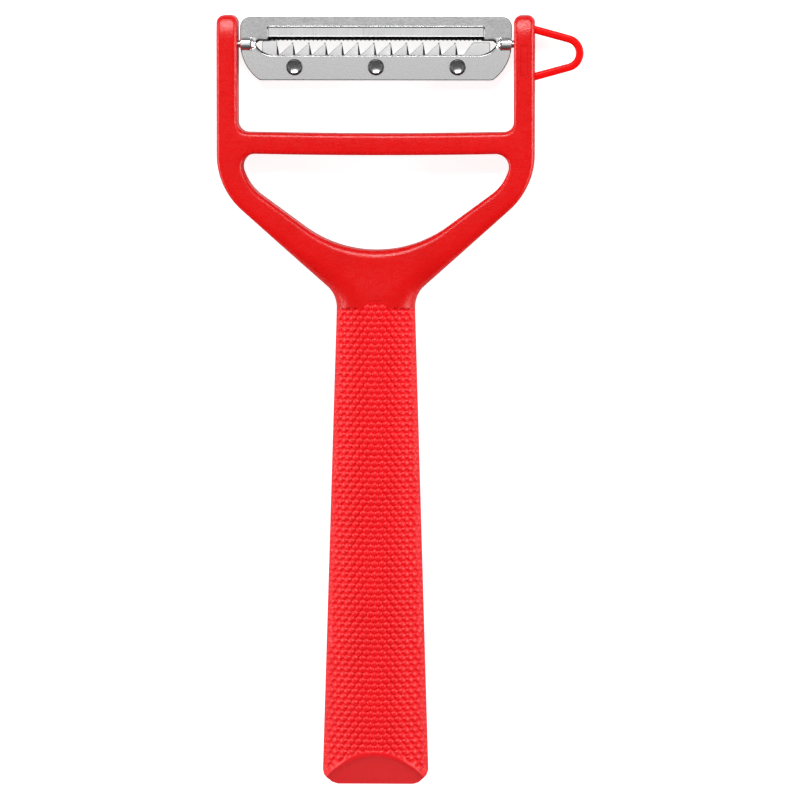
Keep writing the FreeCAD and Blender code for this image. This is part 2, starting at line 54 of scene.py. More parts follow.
def box_mm(node):
    """Lowest and highest corners of a CAD node at rest, in millimetres."""
    low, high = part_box(node)
    return Vector(low) / MM, Vector(high) / MM


yoke_low, yoke_high = box_mm("yoke_frame")
loop_low, _ = box_mm("eye_remover")
pivot = Vector(frame["joints"][0]["pos_m"]) / MM

QUARTER = math.pi / 2
SAME_POINT = 1e-4
WELD = 1e-5
FRAME_THICK = 8.0
ARM_OUTER = yoke_high.x
ARM_INNER = 27.8
ARM_TOP = yoke_high.y
BUTT_END = yoke_low.y
NECK_END = -5.5


# ---- outlines

def turn_to(angle):
    return Vector((math.cos(angle), math.sin(angle)))


def arc(centre, radius, begin, finish, finest=0.4):
    """Points along an arc between two angles in radians, both ends included."""
    step = min(finest, radius / 9)
    count = max(2, math.ceil(abs(finish - begin) * radius / step))
    return [Vector(centre) + radius * turn_to(begin + (finish - begin) * i / count) for i in range(count + 1)]


def run(start, end, step=1.2):
    """Points along a straight line, both ends included."""
    start, end = Vector(start), Vector(end)
    count = max(1, math.ceil((end - start).length / step))
    return [start.lerp(end, i / count) for i in range(count + 1)]


def trail(*stretches):
    """One chain from several, with no point twice."""
    chain = []
    for point in (p for stretch in stretches for p in stretch):
        if not chain or (point - chain[-1]).length > SAME_POINT:
            chain.append(point)
    if (chain[0] - chain[-1]).length < SAME_POINT:
        chain.pop()
    return chain


def flip(points):
    """The same outline on the other side of the middle, running the same way round."""
    return [Vector((-p.x, p.y)) for p in reversed(points)]


def tangent_angle(first, radius_1, second, radius_2):
    """Angle of the normal of a line that touches both circles; a radius below nought is on the far side."""
    gap = Vector(second) - Vector(first)
    return math.remainder(math.atan2(gap.y, gap.x) + math.acos((radius_1 - radius_2) / gap.length), math.tau)


def normals_of(points, closed=True):
    """Left-hand normals at each point of a chain."""
    result = []
    last = len(points) - 1
    for i, here in enumerate(points):
        back = points[i - 1] if closed or i > 0 else here
        ahead = points[(i + 1) % len(points)] if closed or i < last else here
        way_in = (here - back).normalized() if (here - back).length > 0 else Vector((0, 0))
        way_out = (ahead - here).normalized() if (ahead - here).length > 0 else Vector((0, 0))
        way = (way_in + way_out).normalized()
        result.append(Vector((-way.y, way.x)))
    return result


# ---- mesh helpers

SPOT_GAP = 0.55
POCKET_EDGE = 0.1


def inside(points, loop):
    """Which points are inside a closed loop."""
    x, y = points[:, 0], points[:, 1]
    result = np.zeros(len(points), bool)
    a = np.array([tuple(p) for p in loop])
    b = np.roll(a, -1, axis=0)
    for (ax, ay), (bx, by) in zip(a, b):
        if ay == by:
            continue
        crosses = ((ay > y) != (by > y)) & (x < (bx - ax) * (y - ay) / (by - ay) + ax)
        result ^= crosses
    return result


def distance_to(points, loop):
    """How far each point is from a closed loop."""
    a = np.array([tuple(p) for p in loop])
    side = np.roll(a, -1, axis=0) - a
    best = np.full(len(points), 1e9)
    for start, way in zip(a, side):
        along = np.clip(((points - start) @ way) / max(way @ way, 1e-12), 0, 1)
        best = np.minimum(best, np.hypot(*(points - start - along[:, None] * way).T))
    return best


def fill(bm, rings, height, grid, upward=True, creases=(), extra=()):
    """Triangulate the flat between rings of vertices; the first ring is the outer one.
    A grid of spots, chains of creases and extra spots carry the height inside the rings."""
    loops = [[v.co.xy for v in ring] for ring in rings]
    corners = [p for loop in loops for p in loop]
    owners = [v for ring in rings for v in ring]
    edges = []
    start = 0
    for loop in loops:
        edges += [(start + i, start + (i + 1) % len(loop)) for i in range(len(loop))]
        start += len(loop)
    box = np.array([tuple(p) for p in loops[0]])
    low, high = box.min(axis=0), box.max(axis=0)
    spots = []
    if grid:
        xs = np.arange(low[0] + grid / 2, high[0], grid)
        ys = np.arange(low[1] + grid / 2, high[1], grid)
        spots = [(x + (grid / 2 if j % 2 else 0), y) for j, y in enumerate(ys) for x in xs]
    kept = []
    for spots, gap in [(spots, SPOT_GAP * grid), *extra]:
        if not spots:
            continue
        spots = np.array(spots)
        good = inside(spots, loops[0]) & (distance_to(spots, loops[0]) > gap)
        for loop in loops[1:]:
            good &= ~inside(spots, loop) & (distance_to(spots, loop) > gap)
        kept += [Vector(p) for p in spots[good]]
    for chain in creases:
        first = len(corners) + len(kept)
        kept += [Vector(p) for p in chain]
        edges += [(first + i, first + i + 1) for i in range(len(chain) - 1)]
    points, _, faces, sources, _, _ = geometry.delaunay_2d_cdt(corners + kept, edges, [], 0, WELD)
    vertices = []
    for point, source in zip(points, sources):
        known = [i for i in source if i < len(owners)]
        vertices.append(owners[known[0]] if known else bm.verts.new((*point, height(*point))))
    centres = np.array([tuple(sum((points[i] for i in face), Vector((0, 0))) / len(face)) for face in faces])
    good = inside(centres, loops[0])
    for loop in loops[1:]:
        good &= ~inside(centres, loop)
    made = []
    for face, keep in zip(faces, good):
        if keep:
            ring = [vertices[i] for i in face]
            made.append(bm.faces.new(ring if upward else ring[::-1]))
    return made


def join_rings(bm, upper, lower):
    """A closed wall of quads between two rings with as many vertices."""
    made = []
    for i in range(len(upper)):
        j = (i + 1) % len(upper)
        made.append(bm.faces.new((upper[i], lower[i], lower[j], upper[j])))
    return made


def slab(bm, loops, top, bottom, inset, lift, steps, grid, open_end=False, pockets=(), creases=(),
         extra=(), hold=0.0):
    """A plate with rounded rims; inset and lift say how wide and how deep the rounding is at a point.
    The first loop runs anticlockwise round the plate, the others clockwise round its holes.
    A hold is a narrow flat ring inside each rim, which keeps the rim's shading out of the flat."""
    top_rings, bottom_rings = [], []
    for number, points in enumerate(loops):
        closed = not (open_end and number == 0)
        columns = []
        for point, normal in zip(points, normals_of(points, closed)):
            wide, deep = inset(*point), lift(*point)
            upper, lower = [], []
            for step in range(steps + 1):
                angle = QUARTER * step / steps
                spot = point + normal * wide * (1 - math.cos(angle))
                drop = deep * (1 - math.sin(angle))
                upper.append(bm.verts.new((*spot, top(*spot) - drop)))
                lower.append(bm.verts.new((*spot, bottom(*spot) + drop)))
            if hold:
                spot = point + normal * (wide + hold)
                upper.append(bm.verts.new((*spot, top(*spot))))
                lower.append(bm.verts.new((*spot, bottom(*spot))))
            middle = bm.verts.new((*point, (upper[0].co.z + lower[0].co.z) / 2))
            columns.append(lower[::-1] + [middle] + upper)
        pairs = zip(columns, columns[1:] + columns[:1]) if closed else zip(columns, columns[1:])
        for left, right in pairs:
            for a, b, c, d in zip(left, right, right[1:], left[1:]):
                bm.faces.new((a, b, c, d))
        if not closed:
            bm.faces.new(columns[0] + columns[-1][::-1])
        top_rings.append([column[-1] for column in columns])
        bottom_rings.append([column[0] for column in columns])
    for points, floor in pockets:
        normals = normals_of(points)
        upper = [bm.verts.new((*(p - POCKET_EDGE * n), top(*p))) for p, n in zip(points, normals)]
        edge = [bm.verts.new((*p, top(*p) - POCKET_EDGE)) for p in points]
        lower = [bm.verts.new((*p, floor)) for p in points]
        join_rings(bm, upper, edge)
        join_rings(bm, edge, lower)
        bm.faces.new(lower)
        top_rings.append(upper)
    faces = fill(bm, top_rings, top, grid, creases=creases, extra=extra)
    fill(bm, bottom_rings, bottom, grid, upward=False, extra=extra)
    return faces


def piece(name, bm, materials, body, node, sharp):
    """Turn a bmesh in millimetres into a finished piece that rides on a body and stands for a CAD node."""
    bmesh.ops.remove_doubles(bm, verts=bm.verts, dist=WELD)
    bmesh.ops.recalc_face_normals(bm, faces=bm.faces)
    for vertex in bm.verts:
        vertex.co *= MM
    mesh = bpy.data.meshes.new(name)
    bm.to_mesh(mesh)
    bm.free()
    for material in materials:
        mesh.materials.append(material)
    mesh.shade_smooth()
    mesh.set_sharp_from_angle(angle=math.radians(sharp))
    thing = bpy.data.objects.new(name, mesh)
    bpy.context.scene.collection.objects.link(thing)
    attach(thing, body)
    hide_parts(node)
    return thing


def block(bm, low, high, bevel):
    """A box with small bevels."""
    made = bmesh.ops.create_cube(bm, size=1.0)["verts"]
    low, high = Vector(low), Vector(high)
    for vertex in made:
        vertex.co = low + (high - low) * 0.5 + Vector(vertex.co[i] * (high - low)[i] for i in range(3))
    edges = list(dict.fromkeys(edge for vertex in made for edge in vertex.link_edges))
    bmesh.ops.bevel(bm, geom=edges, offset=bevel, segments=2, affect="EDGES")


def smooth_step(value):
    value = min(max(value, 0.0), 1.0)
    return value * value * (3 - 2 * value)


# ---- materials

MIX_FIRST, MIX_SECOND, MIX_COLOUR = 6, 7, 2


class Nodes:
    """The node tree of a material or a world, and what both of them need."""

    def __init__(self, owner):
        owner.use_nodes = True
        self.tree = owner.node_tree

    def add(self, kind, **settings):
        node = self.tree.nodes.new(kind)
        for key, value in settings.items():
            setattr(node, key, value)
        return node

    def link(self, source, target):
        self.tree.links.new(source, target)

    def ramp(self, factor, low, high, begin=0.3, finish=0.7):
        """Spread a factor between two colours."""
        node = self.add("ShaderNodeValToRGB")
        for element, place, colour in zip(node.color_ramp.elements, (begin, finish), (low, high)):
            element.position = place
            element.color = (*colour, 1)
        self.link(factor, node.inputs["Fac"])
        return node.outputs["Color"]

    def mix(self, share, first, second):
        """Blend two colours; the share is the second one's."""
        node = self.add("ShaderNodeMix", data_type="RGBA")
        node.inputs[0].default_value = share
        self.link(first, node.inputs[MIX_FIRST])
        self.link(second, node.inputs[MIX_SECOND])
        return node.outputs[MIX_COLOUR]

    def total(self, first, second, share=1.0):
        """The first number plus a share of the second."""
        node = self.add("ShaderNodeMath", operation="MULTIPLY_ADD")
        self.link(second, node.inputs[0])
        node.inputs[1].default_value = share
        self.link(first, node.inputs[2])
        return node.outputs["Value"]


class Shader(Nodes):
    """A material whose colour, roughness and bump come from procedural nodes."""

    def __init__(self, name, **sockets):
        self.material = bpy.data.materials.new(name)
        super().__init__(self.material)
        self.shader = self.tree.nodes["Principled BSDF"]
        self.place = self.add("ShaderNodeTexCoord").outputs["Object"]
        for socket, value in sockets.items():
            self.shader.inputs[socket.replace("_", " ")].default_value = value

    def stretched(self, scale):
        """Object coordinates times a scale for each axis, in cells per millimetre."""
        node = self.add("ShaderNodeMapping")
        node.inputs["Scale"].default_value = [s / MM for s in scale]
        self.link(self.place, node.inputs["Vector"])
        return node.outputs["Vector"]

    def noise(self, scale, detail=3.0, roughness=0.55):
        node = self.add("ShaderNodeTexNoise")
        node.inputs["Scale"].default_value = 1.0
        node.inputs["Detail"].default_value = detail
        node.inputs["Roughness"].default_value = roughness
        self.link(self.stretched(scale), node.inputs["Vector"])
        return node.outputs["Fac"]

    def cells(self, scale):
        node = self.add("ShaderNodeTexVoronoi")
        node.inputs["Scale"].default_value = 1.0
        self.link(self.stretched(scale), node.inputs["Vector"])
        return node.outputs["Distance"]

    def spread(self, factor, low, high, begin=0.3, finish=0.7):
        """Spread a factor between two numbers."""
        node = self.add("ShaderNodeMapRange")
        for socket, value in (("From Min", begin), ("From Max", finish), ("To Min", low), ("To Max", high)):
            node.inputs[socket].default_value = value
        self.link(factor, node.inputs["Value"])
        return node.outputs["Result"]

    def bump(self, height, depth, under=None):
        """Raise the surface by a height of 0 to 1 times a depth in millimetres."""
        node = self.add("ShaderNodeBump")
        node.inputs["Distance"].default_value = depth * MM
        self.link(height, node.inputs["Height"])
        if under:
            self.link(under, node.inputs["Normal"])
        return node.outputs["Normal"]

    def finish(self, colour=None, roughness=None, normal=None):
        for socket, source in (("Base Color", colour), ("Roughness", roughness), ("Normal", normal)):
            if source:
                self.link(source, self.shader.inputs[socket])
        return self.material


def moulded_red(name, dark, light, grain, depth, rough, **sockets):
    """Moulded plastic: mottled colour, spark-eroded grain, a little unevenness and handling marks."""
    shader = Shader(name, **sockets)
    mottle = shader.noise((0.12, 0.12, 0.12), 4.0)
    speck = shader.noise((grain, grain, grain), 2.0)
    pits = shader.cells((grain * 0.8, grain * 0.8, grain * 0.8))
    scuffs = shader.noise((0.5, 0.9, 0.5), 5.0, 0.7)
    colour = shader.mix(0.45, shader.ramp(mottle, dark, light), shader.ramp(speck, dark, light, 0.35, 0.65))
    gloss = shader.total(shader.spread(scuffs, rough - 0.03, rough + 0.05, 0.35, 0.65),
                         shader.spread(speck, -0.05, 0.05))
    wave = shader.bump(shader.noise((0.25, 0.25, 0.25), 2.0), 0.03)
    normal = shader.bump(shader.total(speck, pits, 0.6), depth, wave)
    return shader.finish(colour, gloss, normal)


def rolled_steel(name, dark, light, streak, depth, rough):
    """Steel with drawn or ground streaks; the streak scale sets their direction."""
    shader = Shader(name, Metallic=1.0)
    fine = shader.noise(streak, 4.0, 0.65)
    cloud = shader.noise((0.3, 0.5, 0.3), 3.0)
    colour = shader.mix(0.75, shader.ramp(cloud, dark, light), shader.ramp(fine, dark, light, 0.25, 0.75))
    gloss = shader.total(shader.spread(fine, rough - 0.05, rough + 0.08),
                         shader.spread(cloud, -0.015, 0.015))
    return shader.finish(colour, gloss, shader.bump(fine, depth))


frame_red = moulded_red("frame_red", (0.66, 0.001, 0.001), (0.76, 0.003, 0.003), 4.5, 0.032, 0.28,
                        Specular_IOR_Level=0.45)
grip_red = moulded_red("grip_red", (0.81, 0.002, 0.006), (0.90, 0.005, 0.011), 5.0, 0.010, 0.38,
                       Sheen_Weight=0.05, Sheen_Roughness=0.4, Specular_IOR_Level=0.42)
# The butt's cut faces are the frame's plastic, made brighter as painted light because they face away from the
# key light.
facet_red_painted_light = moulded_red("facet_red_painted_light", (0.92, 0.004, 0.008), (0.99, 0.009, 0.014), 5.0, 0.045, 0.36)
loop_red = moulded_red("loop_red", (0.82, 0.001, 0.001), (0.90, 0.002, 0.002), 2.0, 0.003, 0.34,
                       Specular_IOR_Level=0.2)


def grey(level, tint=0.005):
    """A neutral colour, blue by a touch."""
    return (level, level, level + tint)


# The upper plate and the guard are one sheet of steel: their streaks differ as real finish, while the upper
# plate's darker base is painted shade and the guard's brighter base is painted reflection.
plate_painted_shade_steel = rolled_steel("plate_painted_shade_steel", grey(0.40), grey(0.46), (1.6, 5.0, 5.0), 0.0008, 0.26)
guard_painted_light_steel = rolled_steel("guard_painted_light_steel", grey(0.90), grey(0.97), (0.4, 2.0, 2.0), 0.0004, 0.24)
ground_steel = rolled_steel("ground_steel", grey(0.48), grey(0.58), (5.0, 0.12, 0.5), 0.002, 0.30)
# Near-black steel for the ground bevel: painted dark reflection on a real ground bevel.
bevel_painted_dark_steel = rolled_steel("bevel_painted_dark_steel", grey(0.01, 0), grey(0.05, 0.002), (6.0, 0.5, 0.5), 0.003, 0.30)
# Near-white steel along the burr round the ground band: painted highlight on a real burr ridge.
burr_highlight_steel = rolled_steel("burr_highlight_steel", grey(0.96), grey(0.99, 0), (2.0, 2.0, 2.0), 0.0005, 0.60)
comb_steel = rolled_steel("comb_steel", grey(0.88), grey(0.98), (3.0, 3.0, 0.3), 0.001, 0.42)
# Near-black steel: painted shade on the plate's steep walls, the comb's edges and fins, and the rivets' outer
# rings; the stamped edges themselves are a duller finish.
shade_painted_steel = rolled_steel("shade_painted_steel", grey(0.015, 0), grey(0.12, 0.002), (6.0, 6.0, 6.0), 0.02, 0.35)
# Darker steel in the rivets' bowls: painted shade of the hollow.
bowl_painted_shade_steel = rolled_steel("bowl_painted_shade_steel", grey(0.50, 0), grey(0.62, 0.002), (5.0, 5.0, 5.0), 0.0005, 0.22)
rivet_steel = rolled_steel("rivet_steel", grey(0.80), grey(0.92), (5.0, 5.0, 5.0), 0.0005, 0.16)


# ---- yoke

SHOULDER = Vector((17.1, 25.0))
SHOULDER_RADIUS = 14.8
THROAT = Vector((13.5, -5.6))
THROAT_RADIUS = 5.6
NECK_HALF = 7.9
ARM_CORNER = 1.5
ARM_ROLL = 48.6
ARM_FALL = 1.1
ARM_ZONE = 26.0
HEAD_ZONE = 20.0
BAR_TOP = 29.5
BAR_BOTTOM = 25.2
BAY_CORNER = 2.2
BAR_SAG = 0.25
SAG_REACH = 24.0
WINDOW_CORNER = 2.6
WINDOW_RADIUS = 10.1
WINDOW_BELLY = 24.4
WINDOW_BOTTOM = 5.8
EDGE_INSET = 0.9
EDGE_LIFT = 0.8
FLANK = 0.6
FLANK_SLOPE = 1.1
FLANK_FOOT = (8.0, -1.5)
NECK_START = 14.0
NECK_FADE = 20.0
NECK_INSET = 5.0
NECK_LIFT = 2.9
SWELL = 0.3
SWELL_START = 3.0
SWELL_FADE = 8.0
YOKE_OVERLAP = 0.15
CORE_OVERLAP = 1.0
CORE_FIT = 0.02
CORE_RECESS = 0.2
NIB_LOW = (29.1, 40.9)
NIB_HIGH = (30.7, 47.1)
NIB_FLOOR = 5.2
SOCKET_RADIUS = 0.82
SOCKET_REACH = 29.8
SOCKET_PATCH = 1.9
SOCKET_SIDES = 40


def sagged(points):
    """Crossbar edges hang a little lower in the middle."""
    return [p - Vector((0, BAR_SAG * max(0.0, 1 - (p.x / SAG_REACH) ** 2))) for p in points]


def yoke_half():
    """Right half of the outline, from the neck up round the arm to the middle of the crossbar."""
    slope = tangent_angle(SHOULDER, SHOULDER_RADIUS, THROAT, -THROAT_RADIUS)
    tip = ARM_TOP - ARM_CORNER
    return trail(
        run((NECK_HALF, NECK_END - YOKE_OVERLAP), (NECK_HALF, THROAT.y), 0.2),
        arc(THROAT, THROAT_RADIUS, math.pi, math.pi + slope, 0.25),
        run(THROAT - THROAT_RADIUS * turn_to(slope), SHOULDER + SHOULDER_RADIUS * turn_to(slope), 0.4),
        arc(SHOULDER, SHOULDER_RADIUS, slope, 0),
        run((ARM_OUTER, SHOULDER.y), (ARM_OUTER, tip)),
        arc((ARM_OUTER - ARM_CORNER, tip), ARM_CORNER, 0, QUARTER),
        arc((ARM_INNER + ARM_CORNER, tip), ARM_CORNER, QUARTER, 2 * QUARTER),
        run((ARM_INNER, tip), (ARM_INNER, BAR_TOP + BAY_CORNER)),
        arc((ARM_INNER - BAY_CORNER, BAR_TOP + BAY_CORNER), BAY_CORNER, 0, -QUARTER),
        sagged(run((ARM_INNER - BAY_CORNER, BAR_TOP), (0, BAR_TOP))))


def window_half():
    """Right half of the opening under the crossbar, from its lowest point up to the crossbar."""
    belly = Vector((0, WINDOW_BOTTOM + WINDOW_BELLY))
    slope = tangent_angle(SHOULDER, WINDOW_RADIUS, belly, WINDOW_BELLY)
    corner = Vector((0, BAR_BOTTOM - WINDOW_CORNER))
    reach = WINDOW_RADIUS - WINDOW_CORNER
    corner.x = SHOULDER.x + math.sqrt(reach ** 2 - (SHOULDER.y - corner.y) ** 2)
    meeting = math.atan2(corner.y - SHOULDER.y, corner.x - SHOULDER.x)
    return trail(
        arc(belly, WINDOW_BELLY, -QUARTER, slope),
        run(belly + WINDOW_BELLY * turn_to(slope), SHOULDER + WINDOW_RADIUS * turn_to(slope), 0.8),
        arc(SHOULDER, WINDOW_RADIUS, slope, meeting),
        arc(corner, WINDOW_CORNER, meeting, QUARTER),
        sagged(run((corner.x, BAR_BOTTOM), (0, BAR_BOTTOM))))


def neck_share(x, y):
    """0 on the arms and the crossbar, growing to 1 where the neck enters the grip."""
    if abs(x) > ARM_ZONE or y > HEAD_ZONE:
        return 0.0
    return min(max((NECK_START - y) / NECK_FADE, 0.0), 1.0)


def yoke_inset(x, y):
    """Width of the edge rounding: broad at the neck, with a flank along the diagonals' outer edges."""
    past = abs(x) - FLANK_FOOT[0] - FLANK_SLOPE * (y - FLANK_FOOT[1])
    flank = FLANK * smooth_step(past / 2.0) * smooth_step((HEAD_ZONE - y) / 6.0)
    return EDGE_INSET + flank + NECK_INSET * neck_share(x, y) ** 2.2


def yoke_lift(x, y):
    return EDGE_LIFT + NECK_LIFT * neck_share(x, y) ** 2


def swell(y):
    """The neck rises a little to meet the grip."""
    return SWELL * smooth_step((SWELL_START - y) / SWELL_FADE)


def yoke_top(x, y):
    roll = (max(y - ARM_ROLL, 0.0) / (ARM_TOP - ARM_ROLL)) ** 2
    return FRAME_THICK + swell(y) - ARM_FALL * roll


def yoke_bottom(x, y):
    return swell(y)


# ---- handle sections

FACET_REACH = 7.0
FACET_FOOT = 7.0
BUTT_TOP = 12.8
BUTT_CHAMFER = 2.4
BUTT_TRIM = 0.25
BUTT_OVERRUN = 2.0
CORE_RINGS = 25
RING_POINTS = 24
SECTIONS = {
    "grip": {"neck": (7.9, 4.3, 2.2, 4.3), "butt": (10.75, 6.4, 2.5, 6.4)},
    "core": {"neck": (7.3, 3.7, 1.6, 4.3), "butt": (10.15, 5.8, 1.9, 6.4)},
}


def section(kind, y):
    """Half width, half height, side radius and centre height of the handle at one place."""
    share = (NECK_END - y) / (NECK_END - BUTT_END)
    neck, butt = SECTIONS[kind]["neck"], SECTIONS[kind]["butt"]
    return [a + (b - a) * share for a, b in zip(neck, butt)]


def crown_of(half, rise, side):
    """Radius of the front and back arcs, which touch the side arcs."""
    return ((half - side) ** 2 + rise ** 2 - side ** 2) / (2 * (rise - side))


def oval_point(half, rise, side, centre, x=None, angle=None, below=False):
    """A point and its outward normal, found by x on the crowns or by angle on the right-hand side."""
    crown = crown_of(half, rise, side)
    sign = -1 if below else 1
    if angle is not None:
        middle = Vector((half - side, centre))
        way = turn_to(angle)
        return middle + side * way, way
    switch = (half - side) * crown / (crown - side)
    if abs(x) > switch:
        over = abs(x) - (half - side)
        up = math.sqrt(max(side * side - over * over, 0))
        way = Vector((math.copysign(over, x), sign * up)) / side
        return Vector((x, centre + sign * up)), way
    up = math.sqrt(crown * crown - x * x)
    way = Vector((x, sign * up)) / crown
    return Vector((x, centre + sign * (rise - crown + up))), way


def butt_planes(back_off=0.0):
    """Point and outward normal of each plane that bounds the butt: the slanted cuts, the end, and
    chamfers with their corners trimmed. The slanted cuts can be set back."""
    high = Vector((0, BUTT_END + FACET_REACH, BUTT_TOP))
    foot = Vector((0, BUTT_END, FACET_FOOT))
    way = (high - foot).normalized()
    front = Vector((0, -way.z, way.y))
    back = Vector((0, -way.z, -way.y))
    half = SECTIONS["grip"]["butt"][0]
    planes = [(foot, front), (Vector((0, BUTT_END, BUTT_TOP - FACET_FOOT)), back),
              (Vector((0, BUTT_END, 0)), Vector((0, -1, 0)))]
    low, high = Vector((half - BUTT_CHAMFER, BUTT_END)), Vector((half, BUTT_END + BUTT_CHAMFER))
    for sign in (1, -1):
        for corner, slope, trim in ((low, 45, 0.0), (low, 70, BUTT_TRIM), (high, 20, BUTT_TRIM)):
            way = turn_to(-math.radians(slope))
            spot = corner - trim * way
            planes.append((Vector((sign * spot.x, spot.y, 0)), Vector((sign * way.x, way.y, 0))))
    return [(point - (back_off if abs(normal.z) > 0 else 0.0) * normal, normal) for point, normal in planes]


def cut_butt(bm, planes, slot=0):
    """Trim the handle by each plane in turn and close it."""
    for point, normal in planes:
        everything = bm.verts[:] + bm.edges[:] + bm.faces[:]
        cut = bmesh.ops.bisect_plane(bm, geom=everything, plane_co=point, plane_no=normal, clear_outer=True,
                                     dist=WELD)
        edges = [item for item in cut["geom_cut"] if isinstance(item, bmesh.types.BMEdge)]
        made = bmesh.ops.triangle_fill(bm, edges=edges, use_beauty=True, normal=normal)
        for item in made["geom"]:
            if isinstance(item, bmesh.types.BMFace):
                item.material_index = slot


# ---- knurl

COLUMN_NECK = 1.55
COLUMN_BUTT = 1.64
ROW = 2.24
STEPS = 8
RELIEF = 0.35
BUMP_FLANK = 0.42
BAND_ANGLE = math.radians(38)
BAND_COLUMNS = 16
START_BOW = 1.0
START_ROWS = 4
START_HEIGHT = 0.7
SEAM_ANGLE = math.radians(11)
RIM_ROOM = 0.35
RIM_BLEND = 0.25


def column(y):
    share = (NECK_END - y) / (NECK_END - BUTT_END)
    return COLUMN_NECK + (COLUMN_BUTT - COLUMN_NECK) * share


def knurl(u, v, pitch):
    """Height of the knurl, 1 on top of a bump; bumps stand in staggered rows and meet in six-sided outlines."""
    here = Vector((u * pitch, v * ROW))
    row = math.floor(2 * v)
    peaks = []
    for number in (row - 1, row, row + 1, row + 2):
        nearest = round(u - 0.5 * (number % 2)) + 0.5 * (number % 2)
        peaks += [Vector(((nearest + side) * pitch, number * ROW / 2)) for side in (-1, 0, 1)]
    peaks.sort(key=lambda peak: (peak - here).length)
    own = peaks[0]
    edge = min((((own + other) / 2 - here).dot((other - own).normalized()) for other in peaks[1:]))
    return math.sin(QUARTER * min(1.0, max(0.0, edge) / BUMP_FLANK))


def grip_row(bm, planes, j):
    """One row of vertices round the grip: how far its front and back reach, front, back, two sides."""
    y = NECK_END - j * ROW / STEPS
    half, _, side, _ = section("grip", y)
    pitch = column(y)
    edge = half - side + side * math.cos(BAND_ANGLE)
    reach = 2 * int(edge * STEPS / pitch / 2 - 0.3)

    def knurled(x_share, across, shift=0.0, seam=0.0, **where):
        """A point on the grip, lowered between the bumps but not at its rims, its seam or its start."""
        begin = NECK_END + START_BOW * max(0.0, 1 - x_share ** 2)
        level = min(y - shift * ROW / STEPS, begin)
        if "column" in where:
            where = {"x": where["column"] * column(level) / STEPS, "below": where["below"]}
        spot, way = oval_point(*section("grip", level), **where)
        place = Vector((spot.x, level, spot.y))
        room = min((point - place).dot(normal) for point, normal in planes)
        rim = 1 - smooth_step((room - RIM_ROOM) / RIM_BLEND)
        start = START_HEIGHT if level == begin else 0.0
        height = max(knurl(across, -(j + shift) / STEPS, pitch), rim, seam, start)
        return place + Vector((way.x, 0, way.y)) * RELIEF * (height - 1)

    faces = []
    for below in (False, True):
        faces.append({i: bm.verts.new(knurled(i * pitch / STEPS / half, i / STEPS, 0.5 * (i % 2),
                                              column=i, below=below))
                      for i in range(-reach, reach + 1)})
    bands = []
    for mirror in (1, -1):
        band = []
        for k in range(BAND_COLUMNS + 1):
            angle = BAND_ANGLE * (1 - 2 * k / BAND_COLUMNS)
            across = (edge + side * (BAND_ANGLE - abs(angle))) / pitch
            seam = 1 - smooth_step((abs(angle) - SEAM_ANGLE) / SEAM_ANGLE)
            place = knurled(1.0, across, seam=seam, angle=angle)
            band.append(bm.verts.new((mirror * place.x, place.y, place.z)))
        bands.append(band)
    return reach, *faces, bands


def join_rows(bm, row_a, row_b):
    """The grip's skin between one row and the next one towards the butt."""
    new = bm.faces.new
    (reach_a, front_a, back_a, bands_a), (reach_b, front_b, back_b, bands_b) = row_a, row_b
    for grid_a, grid_b in ((front_a, front_b), (back_a, back_b)):
        for i in range(-reach_a, reach_a):
            if i % 2:
                new((grid_a[i], grid_a[i + 1], grid_b[i + 1]))
                new((grid_a[i], grid_b[i + 1], grid_b[i]))
            else:
                new((grid_a[i], grid_a[i + 1], grid_b[i]))
                new((grid_a[i + 1], grid_b[i + 1], grid_b[i]))
    for mirror, band_a, band_b in zip((1, -1), bands_a, bands_b):
        for k in range(BAND_COLUMNS):
            new((band_a[k], band_a[k + 1], band_b[k + 1], band_b[k]))
        for grid_a, grid_b, end in ((front_a, front_b, 0), (back_a, back_b, -1)):
            stretch = [grid_b[mirror * i] for i in range(reach_b, reach_a - 1, -1)]
            new([grid_a[mirror * reach_a], band_a[end], band_b[end]] + stretch)


def close_end(bm, row, inner, way):
    """The grip's end face, from its outer skin to the core."""
    reach, front, back, bands = row
    outer = [front[i] for i in range(-reach, reach + 1)] + bands[0]
    outer += [back[i] for i in range(reach, -reach - 1, -1)] + bands[1][::-1]
    edges = []
    for ring in (outer, inner):
        for i in range(len(ring)):
            pair = (ring[i], ring[(i + 1) % len(ring)])
            edges.append(bm.edges.get(pair) or bm.edges.new(pair))
    bmesh.ops.triangle_fill(bm, edges=edges, use_beauty=True, normal=(0, way, 0))


def build_grip():
    bm = bmesh.new()
    planes = butt_planes()
    last = int((NECK_END - BUTT_END + BUTT_OVERRUN) / (ROW / STEPS))
    rows = [grip_row(bm, planes, j) for j in range(-START_ROWS, last + 1)]
    for row_a, row_b in zip(rows, rows[1:]):
        join_rows(bm, row_a, row_b)
    inner = core_tube(bm, NECK_END, 0.0)
    close_end(bm, rows[0], inner[0], 1)
    close_end(bm, rows[-1], inner[-1], -1)
    bmesh.ops.remove_doubles(bm, verts=bm.verts, dist=0.01)
    bmesh.ops.dissolve_degenerate(bm, edges=bm.edges, dist=0.005)
    cut_butt(bm, planes)
    return piece("grip_sleeve_knurled", bm, [grip_red], "handle", "grip_sleeve", sharp=55)


